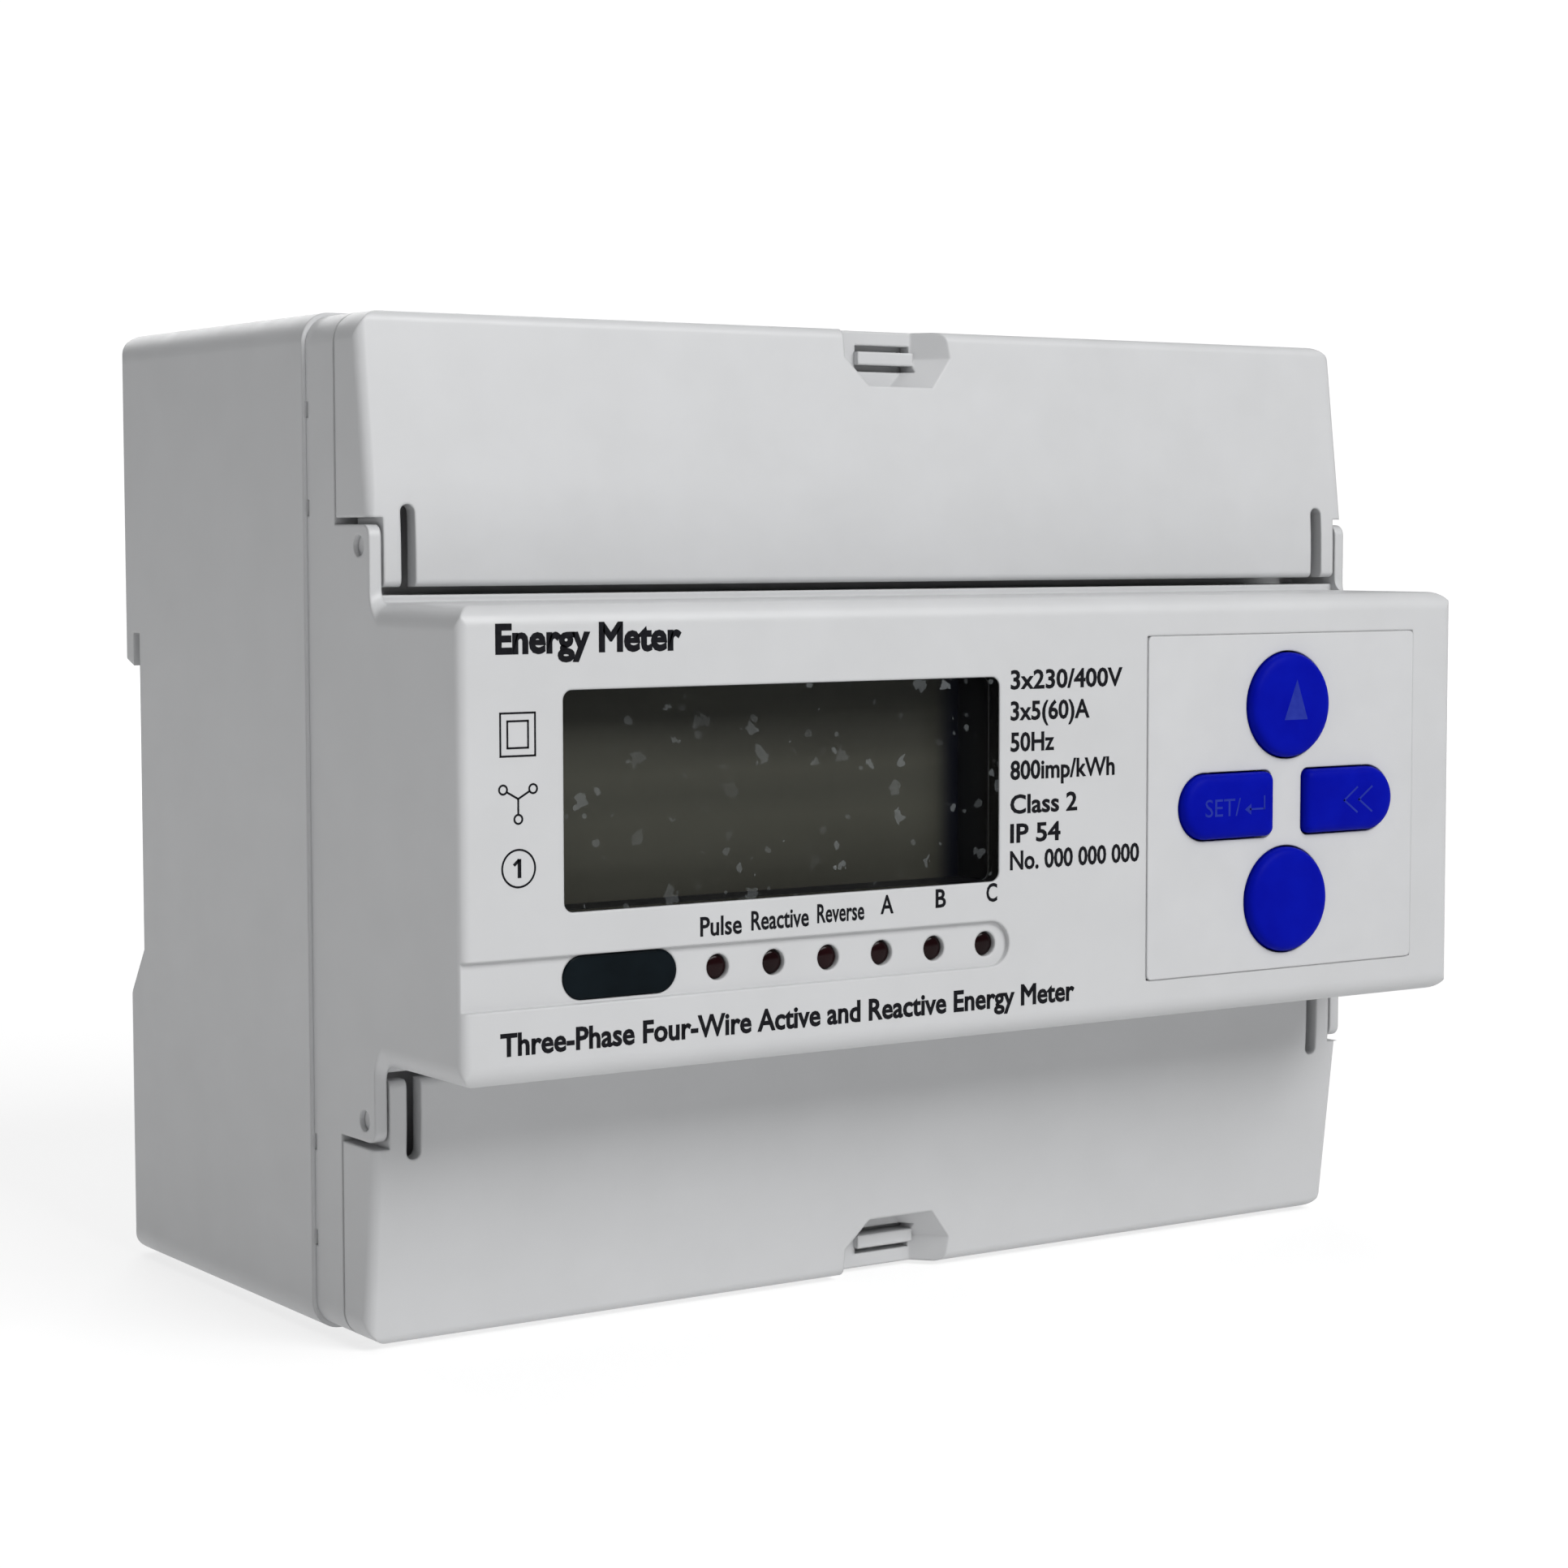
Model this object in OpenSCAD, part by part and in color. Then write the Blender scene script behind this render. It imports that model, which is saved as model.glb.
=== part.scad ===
// Three-phase electric meter for a 35 mm mounting rail.
// Millimetres. +Z is up, the display looks along -Y, and the body stands on z = 0.

/* [Body] */
// Overall width, seven modules
body_w = 127.5; // [126:0.5:130]
// Overall height
body_h = 102; // [100:0.2:104]
// Depth from the nose front to the back plane
body_d = 77; // [75:0.5:80]
// Height of the nose that stands out through the panel cut-out
nose_h = 45; // [44.5:0.1:45.5]
// Wall thickness of both housings
wall = 2; // [1.8:0.1:2.2]
// Corner radius of the outline
corner_r = 3; // [2:0.5:4]
// Radius along the top and bottom edges of the nose
nose_r = 2; // [1:0.5:2.5]
// Radius along the left and right edges of the nose
nose_side_r = 1; // [0.6:0.1:1.6]
// Radius along the edges of the back
back_r = 1.2; // [0.8:0.1:2]
// Step between the wider back housing and the front housing on each side
side_step = 0.4; // [0.2:0.1:0.6]

/* [Display] */
// Width of the clear window
window_w = 51.4; // [50:0.2:52]
// Height of the clear window
window_h = 20.9; // [20:0.1:21]
// Sideways centre of the window
window_x = -26.6; // [-27:0.1:-26]
// Height of the window centre above the body centre
window_z = 4; // [3.5:0.1:4.5]
// Depth of the display glass behind the nose front
glass_depth = 7.2; // [6:0.1:8]

/* [Indicator band] */
// Height of the band
band_h = 4.7; // [4.6:0.1:5]
// Depth of the band below the nose front
band_depth = 0.5; // [0.3:0.1:0.6]
// Height of the band centre above the body centre
band_z = -12.9; // [-13:0.1:-12.5]
// Distance between indicator lamps
lamp_pitch = 6.52; // [6:0.01:6.6]
// Sideways place of the first lamp
lamp_x = -34.9; // [-35:0.1:-34]
// Radius of a lamp hole
lamp_r = 1.3; // [1.2:0.05:1.4]
// Number of lamps
lamps = 6; // [4:1:6]

/* [Keypad] */
// Width of the keypad plate
pad_w = 38.4; // [38:0.1:39]
// Height of the keypad plate
pad_h = 36.5; // [36:0.1:37]
// Sideways centre of the keypad plate
pad_x = 38; // [37.5:0.1:38.5]
// Radius of the round keys
key_r = 5.7; // [5.5:0.1:6]
// How far the keys stand out of the nose front
key_proud = 1.2; // [1:0.1:1.4]
// Radial gap around each key
key_gap = 0.2; // [0.15:0.05:0.3]
// Travel of a key
key_travel = 0.6; // [0.4:0.1:0.7]

/* [Terminal covers] */
// Wall thickness of a cover
cover_wall = 1.8; // [1.6:0.1:1.9]
// How far the front of a cover slopes back towards its outer edge
cover_slope = 2.5; // [2:0.1:2.8]
// Radius along the front edges of a cover
edge_r = 1.2; // [0.8:0.1:1.4]
// Radius of the hinge pins
pin_r = 1; // [0.9:0.05:1]
// Radial gap around a hinge pin
pin_gap = 0.05; // [0.03:0.01:0.08]
// Distance of the hinge axis from the body centre
hinge_z = 28; // [27.9:0.1:28.1]
// Width of the relief slots beside the hinge arms
slot_w = 1.6; // [1.4:0.1:1.8]

/* [Terminals] */
// Distance between main terminals
pitch = 18; // [17.5:0.1:18.2]
// Sideways place of the first main terminal
first_x = -50.5; // [-51:0.1:-50]
// Distance of the terminal screws from the body centre
terminal_z = 36; // [35.8:0.1:36.2]
// Radius of a main wire entry
wire_r = 4.2; // [3.5:0.1:4.2]
// Thread radius of a terminal screw
screw_r = 2.5; // [2:0.1:2.5]
// Number of signal terminals
signals = 8; // [4:1:8]

/* [Rail seat] */
// Depth of the rail recess
rail_depth = 4.5; // [4.4:0.1:4.8]
// Height of the mounting rail
rail_h = 35; // [35:0.1:35.2]
// Height of the rail centre above the body centre
rail_z = 0.7; // [0.5:0.1:0.9]
// Sideways distance of each clip from the middle
clip_x = 34; // [30:1:36]

/* [Hidden] */
$fn = 48;
eps = 0.01;
mid_z = body_h / 2;
y_nose = (key_proud - body_d) / 2;
y_key = y_nose - key_proud;
y_back = y_nose + body_d;
y_hinge = y_nose + 20;
y_cover = y_nose + 17.8;
y_deck = y_nose + 25.1;
y_part = y_nose + 31.2;
front_w = body_w - 2 * side_step;
front_h = body_h - 0.6;
front_x = front_w / 2;
nose_z = nose_h / 2;
nose_edge = 2.2;
pad_gap = 0.04;
pad_proud = 0.15;
cover_top = front_h / 2;
slope_z = nose_z + 8.2;
cover_tilt = atan(cover_slope / (cover_top - slope_z));
bend_r = 60;
ear_in = front_x - 1.3;
arm_out = ear_in - 0.3;
slot_x = arm_out - 1.85;
glass_y = y_nose + glass_depth;
board_y = y_nose + 12.8;
board_t = 1.6;
main_y = y_nose + 55.4;
tops = [1, -1];
main_x = [for (i = [0:3]) first_x + i * pitch];
cage_w = 12;
cage_h = 10;
cage_y = y_nose + 34.4;
cage_d = 15;
blade_y = cage_y + 4;
blade_t = 1.6;
wire_y = cage_y + 9.6;
bar_w = 8;
key_places = [
    [pad_x + 0.4, 10.5], [pad_x + 0.2, -10.7],
    [pad_x - 8.4, -0.15], [pad_x + 9.1, -0.15]
];
floor_y = y_back - rail_depth;
rail_low = rail_z - rail_h / 2;
rail_high = rail_z + rail_h / 2;

shell_grey = [0.82, 0.83, 0.84];
key_blue = [0.05, 0.12, 0.62];
board_green = [0.08, 0.35, 0.18];
metal = [0.72, 0.72, 0.7];
brass = [0.8, 0.62, 0.3];
dark = [0.12, 0.12, 0.13];

// Heights in every module below are counted from the middle of the body.
module at_middle() { translate([0, 0, mid_z]) children(); }

// Extrude an x-z outline from y0 back to y1.
module along_y(y0, y1) {
    translate([0, y1, 0]) rotate([90, 0, 0]) linear_extrude(y1 - y0) children();
}

// Extrude a y-z outline from x0 to x1.
module along_x(x0, x1) {
    translate([x0, 0, 0]) rotate([90, 0, 90]) linear_extrude(x1 - x0) children();
}

// Extrude an x-y outline from z0 up to z1.
module along_z(z0, z1) {
    translate([0, 0, z0]) linear_extrude(z1 - z0) children();
}

module box(low, high) { translate(low) cube(high - low); }

module rod_y(x, z, y0, y1, r) { along_y(y0, y1) translate([x, z]) circle(r); }

module rod_x(y, z, x0, x1, r) { along_x(x0, x1) translate([y, z]) circle(r); }

module rod_z(x, y, z0, z1, r) { along_z(z0, z1) translate([x, y]) circle(r); }

// Rectangle with round corners, centred.
module rounded(w, h, r) {
    square([w - 2 * r, h], center = true);
    square([w, h - 2 * r], center = true);
    for (x = [-1, 1], y = [-1, 1])
        translate([x * (w / 2 - r), y * (h / 2 - r)]) circle(r);
}

// Slot outline with two round ends, centred.
module obround(w, h) {
    square([w - h, h], center = true);
    for (x = [-1, 1]) translate([x * (w - h) / 2, 0]) circle(h / 2);
}

// Draws a top feature a second time, mirrored to the bottom.
module top_and_bottom() {
    children();
    mirror([0, 0, 1]) children();
}

module left_and_right() {
    children();
    mirror([1, 0, 0]) children();
}

// Places children at a key centre.
module at_key(i) { translate([key_places[i][0], 0, key_places[i][1]]) children(); }

// Key outlines: two round keys, and two keys with one round end.
module key_outline(i, grow) {
    if (i < 2) circle(key_r + grow);
    if (i > 1) mirror([i - 2, 0]) {
        translate([-2.95, 0]) circle(3.5 + grow);
        translate([1.75, 0]) rounded(9.4 + 2 * grow, 7 + 2 * grow, 1);
    }
}

// ---- housings ----

module nose_solid() {
    intersection() {
        along_y(y_nose, y_deck + 1) rounded(front_w, nose_h, nose_edge);
        along_x(-front_x, front_x) translate([y_nose + 30, 0]) rounded(60, nose_h, nose_r);
        along_z(-nose_z, nose_z) translate([0, y_nose + 30]) rounded(front_w, 60, nose_side_r);
    }
}

// Hinge ear: a cheek beside the cover with a round front corner.
module ear() {
    ear_top = hinge_z + 2.05;
    corner = 1.2;
    along_x(ear_in, front_x) {
        translate([y_cover, nose_z - 3]) square([y_deck - y_cover + 1, ear_top - corner - nose_z + 3]);
        translate([y_cover + corner, nose_z - 3])
            square([y_deck - y_cover - corner + 1, ear_top - nose_z + 3]);
        translate([y_cover + corner, ear_top - corner]) circle(corner);
    }
}

// Hollow curve that leads from the round edge of the nose up to the front of an ear.
module ear_foot() {
    foot = 1.5;
    intersection() {
        translate([front_x - nose_edge, 0, nose_z - nose_edge]) rotate([-90, 0, 0])
            rotate_extrude() difference() {
                translate([0, y_cover - foot]) square([nose_edge + foot, foot + 0.5]);
                translate([nose_edge + foot, y_cover - foot]) circle(foot);
            }
        box([ear_in, y_cover - foot, nose_z - nose_edge], [front_x, y_cover + 0.5, nose_z + foot]);
    }
}

module band_outline() {
    translate([-front_x - 1, band_z - band_h / 2]) square([front_x + 1 - 1.9, band_h]);
    translate([-1.9, band_z]) circle(band_h / 2);
}

module ir_outline(grow) {
    translate([-46, -12.8]) obround(12.6 + 2 * grow, 4.2 + 2 * grow);
}

module board_posts(y0, y1, r) {
    for (x = [-57.8, 57.8], z = [-17, 16.5]) rod_y(x, z, y0, y1, r);
}

module front_housing() color(shell_grey) at_middle() {
    difference() {
        union() {
            nose_solid();
            along_y(y_deck, y_part) rounded(front_w, front_h, corner_r);
            box([-ear_in, y_cover + 0.6, -nose_z - 0.7], [ear_in, y_deck + 1, nose_z + 0.7]);
            left_and_right() top_and_bottom() {
                ear();
                ear_foot();
            }
        }
        along_y(y_nose + wall, y_part + 1) rounded(front_w - 2 * wall, nose_h - 2 * wall, 1);
        along_y(y_deck + wall, y_part + 1)
            rounded(front_w - 2 * wall, front_h - 2 * wall, corner_r - 1);
        // display, indicator band and infrared window
        along_y(y_nose - 1, y_nose + wall + 1)
            translate([window_x, window_z]) rounded(window_w + 0.1, window_h + 0.1, 1);
        along_y(y_nose - 1, y_nose + band_depth) band_outline();
        along_y(y_nose - 1, y_nose + wall + 1) ir_outline(0.05);
        for (i = [0:lamps - 1])
            rod_y(lamp_x + i * lamp_pitch, band_z, y_nose - 1, y_nose + wall + 1, lamp_r);
        // keypad pocket and key holes
        along_y(y_nose - 1, y_nose + 1.2)
            translate([pad_x, 0]) square([pad_w + pad_gap, pad_h + pad_gap], center = true);
        for (i = [0:3])
            at_key(i) along_y(y_nose, y_nose + wall + 1) key_outline(i, key_gap);
        // hinge pin holes
        left_and_right() top_and_bottom()
            rod_x(y_hinge, hinge_z, ear_in - 1, front_x + 1, pin_r + pin_gap);
        // screwdriver holes and the signal terminal window in the deck
        for (x = main_x, s = tops) rod_y(x, s * terminal_z, y_deck - 1, y_deck + wall + 1, 3);
        box([17.7, y_deck - 1, -42.3], [58.3, y_deck + wall + 1, -30.7]);
        // snap notches along the parting line
        left_and_right() top_and_bottom() for (z = [31.7, 41.4])
            box([front_x - 0.4, y_part - 0.5, z - 0.8], [front_x + 1, y_part + 1, z + 0.8]);
    }
    difference() {
        board_posts(y_nose + wall - eps, board_y, 2.2);
        board_posts(board_y - 7, board_y + 1, 1.05);
    }
}

// Side view of the rail recess, with a hook at its top and a slope at its foot.
module rail_recess() {
    along_x(-body_w, body_w) polygon([
        [floor_y, rail_low + 0.3],
        [floor_y, rail_high + 0.2],
        [floor_y + 1.6, rail_high + 0.2],
        [floor_y + 1.6, rail_high - 3.4],
        [y_back, rail_high - 2.3],
        [y_back + 1, rail_high - 2.3],
        [y_back + 1, rail_low - 6.2],
        [y_back, rail_low - 6.2]
    ]);
}

module back_cavity() {
    along_x(-body_w / 2 + wall, body_w / 2 - wall) polygon([
        [y_part - 1, -mid_z + wall],
        [y_part - 1, mid_z - wall],
        [y_back - wall, mid_z - wall],
        [y_back - wall, rail_high + 2.2],
        [floor_y - wall, rail_high + 2.2],
        [floor_y - wall, rail_low - 0.9],
        [y_back - wall, rail_low - 7.2],
        [y_back - wall, -mid_z + wall]
    ]);
}

module main_posts(y0, y1, r) {
    for (x = [-55, 55], z = [-40, 40]) rod_y(x, z, y0, y1, r);
}

module back_housing() color(shell_grey) at_middle() {
    difference() {
        union() {
            difference() {
                intersection() {
                    along_y(y_part, y_back) rounded(body_w, body_h, corner_r);
                    along_x(-body_w / 2, body_w / 2)
                        translate([y_back - 40, 0]) rounded(80, body_h, back_r);
                    along_z(-mid_z, mid_z)
                        translate([0, y_back - 40]) rounded(body_w, 80, back_r);
                }
                back_cavity();
                rail_recess();
            }
            // lip that enters the front housing
            along_y(y_part - 2.7, y_part + 1) difference() {
                rounded(front_w - 2 * wall - 0.4, front_h - 2 * wall - 0.4, 1.8);
                rounded(front_w - 2 * wall - 2.8, front_h - 2 * wall - 2.8, 1);
            }
            // ties the lip to the wider back wall
            along_y(y_part, y_part + 1.5) difference() {
                rounded(body_w - 1, body_h - 1, corner_r);
                rounded(front_w - 2 * wall - 2.8, front_h - 2 * wall - 2.8, 1);
            }
            main_posts(main_y + board_t, y_back - wall + eps, 3);
            for (s = [-1, 1]) intersection() {
                box([s * clip_x - 12, y_back - 5.8, -mid_z + 0.5],
                    [s * clip_x + 12, y_back, rail_low - 3]);
                along_x(-body_w / 2, body_w / 2)
                    translate([y_back - 40, 0]) rounded(80, body_h, back_r);
            }
        }
        rail_recess();
        main_posts(main_y, main_y + 12, 1.05);
        for (s = [-1, 1]) translate([s * clip_x, 0, 0]) {
            box([-10.3, y_back - 3.5, -mid_z - 1], [10.3, y_back - 1.9, -23.7]);
            box([-7.3, y_back - 3.5, -mid_z - 1], [7.3, y_back + 1, rail_low + 5]);
        }
        // windows for the terminal blocks
        for (s = tops) translate([0, 0, s * (mid_z - 2)])
            box([main_x[0] - 7.8, wire_y - 6.4, -3], [main_x[3] + 8.3, wire_y + 6.4, 3]);
        box([17.7, -5.3, -mid_z - 1], [58.3, 5.3, -mid_z + 4]);
    }
    // spring seats inside the clip channels
    for (s = [-1, 1])
        box([s * clip_x - 3.4, y_back - 3.7, -40.6], [s * clip_x + 3.4, y_back - 1.2, -38.6]);
}

// ---- terminal covers ----

// Side view of a cover. Its front slopes back from just above the hinge to the outer edge.
module cover_profile(inset) {
    inner_top = cover_top - inset;
    foot = nose_z + 1.5 - 2 * inset;
    polygon([
        [y_cover + inset, foot],
        [y_cover + inset, slope_z],
        [y_cover + inset + cover_slope, inner_top],
        [y_deck - 0.3 + inset, inner_top],
        [y_deck - 0.3 + inset, foot]
    ]);
}

// The same side view with round edges and a wide curve where its slope starts.
module cover_skin() {
    foot_r = 0.7;
    foot_z = nose_z + 1.5 + foot_r;
    bend_z = slope_z - bend_r * tan(cover_tilt / 2);
    bend = [for (i = [0:8]) let (a = cover_tilt * i / 8)
        [y_cover + bend_r * (1 - cos(a)), bend_z + bend_r * sin(a)]];
    centre_z = cover_top - edge_r;
    centre_y = y_cover + (centre_z - slope_z) * tan(cover_tilt) + edge_r / cos(cover_tilt);
    translate([centre_y, centre_z]) circle(edge_r);
    translate([y_cover + foot_r, foot_z]) circle(foot_r);
    polygon(concat(
        [[y_cover + foot_r, nose_z + 1.5], [y_cover, foot_z]],
        bend,
        [
            [centre_y - edge_r * cos(cover_tilt), centre_z + edge_r * sin(cover_tilt)],
            [centre_y, cover_top],
            [y_deck - 0.3, cover_top],
            [y_deck - 0.3, nose_z + 1.5]
        ]
    ));
}

// Outline of the sealing recess. grow moves every side out, lean only the right one.
module seal_outline(grow, lean) {
    right = grow + lean;
    polygon([
        [-6.2 - grow, cover_top + 1],
        [-6.2 - grow, cover_top - 3],
        [-3.3 - grow, cover_top - 6 - grow],
        [4.6 + right, cover_top - 6 - grow],
        [7.5 + right, cover_top - 2.8],
        [7.5 + right, cover_top + 1]
    ]);
}

// The recess itself. Its right side leans towards the front.
module seal_recess() {
    floor_y0 = y_deck - 1.8;
    hull() {
        along_y(floor_y0 - eps, floor_y0) seal_outline(0, -2.8);
        along_y(y_cover - 1, y_cover - 1 + eps) seal_outline(0, 2.9);
    }
}

// Outer body of a cover: sloping front, round outer and side edges, narrower between the ears.
module cover_solid() {
    // keeps the plan's flat sides off the planes of the side view
    offset_y = 0.04;
    inset_x = 0.01;
    intersection() {
        along_x(-front_x, front_x) cover_skin();
        union() {
            translate([0, y_cover - offset_y, slope_z]) rotate([-cover_tilt, 0, 0])
                along_z(0, 25) translate([0, 10]) rounded(front_w - 2 * inset_x, 20, edge_r);
            box([-front_x, y_cover - 1, nose_z], [front_x, y_deck, slope_z + eps]);
        }
        union() {
            along_y(y_cover - 1, y_deck) intersection() {
                rounded(front_w, front_h, corner_r);
                translate([-front_x, slope_z]) square([front_w, 60]);
            }
            box([-arm_out, y_cover - 1, nose_z], [arm_out, y_deck, slope_z + 1]);
        }
    }
}

module cover() {
    difference() {
        union() {
            difference() {
                cover_solid();
                along_x(-front_x + cover_wall, front_x - cover_wall) cover_profile(cover_wall);
                // no side wall below the ears
                box([-front_x - 1, y_cover + cover_wall, nose_z],
                    [front_x + 1, y_deck + 1, slope_z]);
            }
            // walls of the sealing recess
            intersection() {
                along_x(-20, 20) cover_skin();
                along_y(y_cover - 1, y_deck) seal_outline(1.2, 0);
            }
            // hinge arms and pins
            left_and_right() {
                box([slot_x, y_cover + 0.7, nose_z + 2.5], [arm_out, y_hinge + 3.3, slope_z + 0.9]);
                rod_x(y_hinge, hinge_z, arm_out - 1, front_x - 0.5, pin_r);
            }
        }
        // relief slots
        left_and_right() along_y(y_cover - 1, y_cover + 3) {
            translate([slot_x - slot_w, nose_z]) square([slot_w, 8.7]);
            translate([slot_x - slot_w / 2, nose_z + 8.7]) circle(slot_w / 2);
        }
        // sealing recess with two slits above and below its bar
        seal_recess();
        for (z = [cover_top - 2.2, cover_top - 4.3])
            box([-2.6, y_deck - 3, z], [4.5, y_deck + 1, z + 0.7]);
    }
    box([-2.7, y_deck - 2.5, cover_top - 3.6], [4.6, y_deck - 1.7, cover_top - 2.2]);
}

module top_cover() color(shell_grey) at_middle() cover();

module bottom_cover() color(shell_grey) at_middle() mirror([0, 0, 1]) cover();

// ---- front panel ----

module display_window() color([0.6, 0.65, 0.66, 0.4]) at_middle() {
    along_y(y_nose + 0.1, y_nose + 1.7)
        translate([window_x, window_z]) rounded(window_w, window_h, 0.95);
}

module ir_window() color(dark) at_middle() {
    along_y(y_nose + band_depth - 0.1, y_nose + 1.9) ir_outline(0);
}

module keypad_plate() color(shell_grey) at_middle() {
    difference() {
        along_y(y_nose - pad_proud, y_nose + 1.2)
            translate([pad_x, 0]) rounded(pad_w, pad_h, 0.6);
        for (i = [0:3]) at_key(i) along_y(y_nose - 1, y_nose + 2) key_outline(i, key_gap);
    }
}

// A key cap with a softened front edge, two retaining lugs and a stem.
module key_cap(i) color(key_blue) at_middle() at_key(i) {
    lug = i < 2 ? key_r + 1 : 7.7;
    along_y(y_key + 0.4, y_nose + wall + 1.3) key_outline(i, 0);
    along_y(y_key, y_key + 0.4 + eps) key_outline(i, -0.35);
    box([-lug, y_nose + wall + 0.3, -1.5], [lug, y_nose + wall + 1.3, 1.5]);
    rod_y(0, 0, y_nose + wall + 1.2, board_y - 5.1, 1.6);
}

module plunger(i) color(dark) at_middle() at_key(i) rod_y(0, 0, board_y - 5, board_y - 2.6, 1.75);

module key_up() key_cap(0);
module key_down() key_cap(1);
module key_set() key_cap(2);
module key_back() key_cap(3);
module plunger_up() plunger(0);
module plunger_down() plunger(1);
module plunger_set() plunger(2);
module plunger_back() plunger(3);

module key_switches() color(dark) at_middle() for (i = [0:3]) at_key(i) difference() {
    box([-3, board_y - 3.5, -3], [3, board_y, 3]);
    rod_y(0, 0, board_y - 4, board_y - 1.8 + key_travel, 1.85);
}

// ---- display assembly ----

module lcd_frame() color(dark) at_middle() translate([window_x, 0, window_z]) difference() {
    along_y(y_nose + wall + 0.1, board_y - 0.1) rounded(window_w + 4, window_h + 4, 1);
    along_y(y_nose, board_y) square([window_w + 0.2, window_h + 0.2], center = true);
    along_y(glass_y - 0.1, board_y) square([window_w + 2.2, window_h + 2.2], center = true);
}

module lcd_panel() color([0.28, 0.28, 0.24]) at_middle() translate([window_x, 0, window_z]) {
    along_y(glass_y, glass_y + 2.2) square([window_w + 2, window_h + 2], center = true);
}

module lcd_backlight() color([0.9, 0.9, 0.88]) at_middle() translate([window_x, 0, window_z]) {
    along_y(glass_y + 2.3, board_y - 0.1) square([window_w + 2, window_h + 2], center = true);
}

module indicator_leds() color([0.3, 0.05, 0.05]) at_middle() {
    for (i = [0:lamps - 1]) {
        x = lamp_x + i * lamp_pitch;
        rod_y(x, band_z, y_nose + 0.7, y_nose + 5.6, lamp_r - 0.1);
        rod_y(x, band_z, y_nose + 5.2, y_nose + 6.2, lamp_r + 0.15);
        for (s = [-1, 1])
            box([x + s * 0.7 - 0.25, y_nose + 6, band_z - 0.25],
                [x + s * 0.7 + 0.25, board_y, band_z + 0.25]);
    }
}

module ir_diodes() color([0.1, 0.1, 0.2]) at_middle() for (x = [-49, -43]) {
    rod_y(x, -12.8, y_nose + 3.4, y_nose + 7.4, 1.5);
    translate([x, y_nose + 3.4, -12.8]) sphere(1.5);
    rod_y(x, -12.8, y_nose + 7.2, y_nose + 8.2, 1.9);
    for (s = [-1, 1])
        box([x + s * 1.27 - 0.25, y_nose + 8, -13.05], [x + s * 1.27 + 0.25, board_y, -12.55]);
}

module display_board() color(board_green) at_middle() difference() {
    along_y(board_y, board_y + board_t) square([119.2, 37.6], center = true);
    board_posts(board_y - 1, board_y + 3, 1.4);
}

// Flat cable with a socket at each board.
module board_link() color([0.85, 0.85, 0.8]) at_middle() {
    box([12, board_y + board_t, -17], [28, board_y + board_t + 5, -13]);
    box([12, main_y - 5, -17], [28, main_y, -13]);
    box([13, board_y + board_t + 4, -15.3], [27, main_y - 4, -14.7]);
}

// ---- measuring and supply parts ----

module main_board() color(board_green) at_middle() difference() {
    along_y(main_y, main_y + board_t) square([118, 92], center = true);
    main_posts(main_y - 1, main_y + 3, 1.4);
}

// Ring cores around the phase bars, each on a foot that stands on the main board.
module current_transformers() color([0.1, 0.2, 0.5]) at_middle() for (i = [0:2]) {
    difference() {
        union() {
            rod_z(main_x[i], blade_y + 0.8, -5, 5, 8.4);
            box([main_x[i] - 3, blade_y + 6, -3], [main_x[i] + 3, main_y, 3]);
        }
        rod_z(main_x[i], blade_y + 0.8, -6, 6, 4.8);
    }
}

module busbar(x) {
    box([x - bar_w / 2, blade_y, -terminal_z - 5], [x + bar_w / 2, blade_y + blade_t, terminal_z + 5]);
}

module phase_busbars() color(brass) at_middle() for (i = [0:2]) busbar(main_x[i]);

module neutral_busbar() color(metal) at_middle() busbar(main_x[3]);

module power_transformer() color([0.55, 0.45, 0.15]) at_middle() {
    box([17, main_y - 20, -9], [43, main_y, 11]);
    box([21, main_y - 19, -12], [39, main_y - 1, 14]);
}

module capacitors() color(dark) at_middle() for (z = [-6, 9]) rod_y(51.5, z, main_y - 14, main_y, 5.5);

module varistors() color([0.1, 0.25, 0.6]) at_middle() for (i = [0:2])
    rod_y(main_x[i], -20, main_y - 4.5, main_y, 5);

module circuit_chips() color(dark) at_middle() {
    box([45, main_y - 1.4, -32], [57, main_y, -20]);
    box([14, main_y - 1.6, 27], [22, main_y, 35]);
    box([30, main_y - 1.6, 27], [40, main_y, 37]);
    box([24, board_y + board_t, -4], [36, board_y + board_t + 1.4, 8]);
}

module backup_battery() color([0.75, 0.2, 0.15]) at_middle() rod_x(main_y - 7.2, 21.4, 17, 42, 7);

module board_screws() color(metal) at_middle() {
    board_posts(board_y - 6, board_y + board_t + eps, 1);
    board_posts(board_y + board_t, board_y + board_t + 1.6, 2.2);
    main_posts(main_y - eps, main_y + 9, 1);
    main_posts(main_y - 1.6, main_y, 2.5);
}

// ---- main terminals ----

// Moulded carrier with one chamber for each clamp cage, seen from above.
module terminal_block() color([0.3, 0.31, 0.33]) difference() {
    union() {
        box([main_x[0] - 8.2, y_nose + 28.8, terminal_z - 7.5],
            [main_x[3] + 8.8, y_nose + 51, terminal_z + 9.8]);
        box([main_x[0] - 7.5, wire_y - 6.1, terminal_z + 9], [main_x[3] + 8, wire_y + 6.1, mid_z - 0.2]);
    }
    for (x = main_x) {
        box([x - 6.4, y_nose + 28, terminal_z - 5.4], [x + 6.4, cage_y + 15.6, terminal_z + 5.4]);
        box([x - 4.3, blade_y - 0.3, terminal_z - 8], [x + 4.3, blade_y + 1.9, terminal_z]);
        rod_z(x, wire_y, terminal_z, mid_z + 1, wire_r);
    }
}

module terminal_block_top() at_middle() terminal_block();

module terminal_block_bottom() at_middle() mirror([0, 0, 1]) terminal_block();

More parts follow.
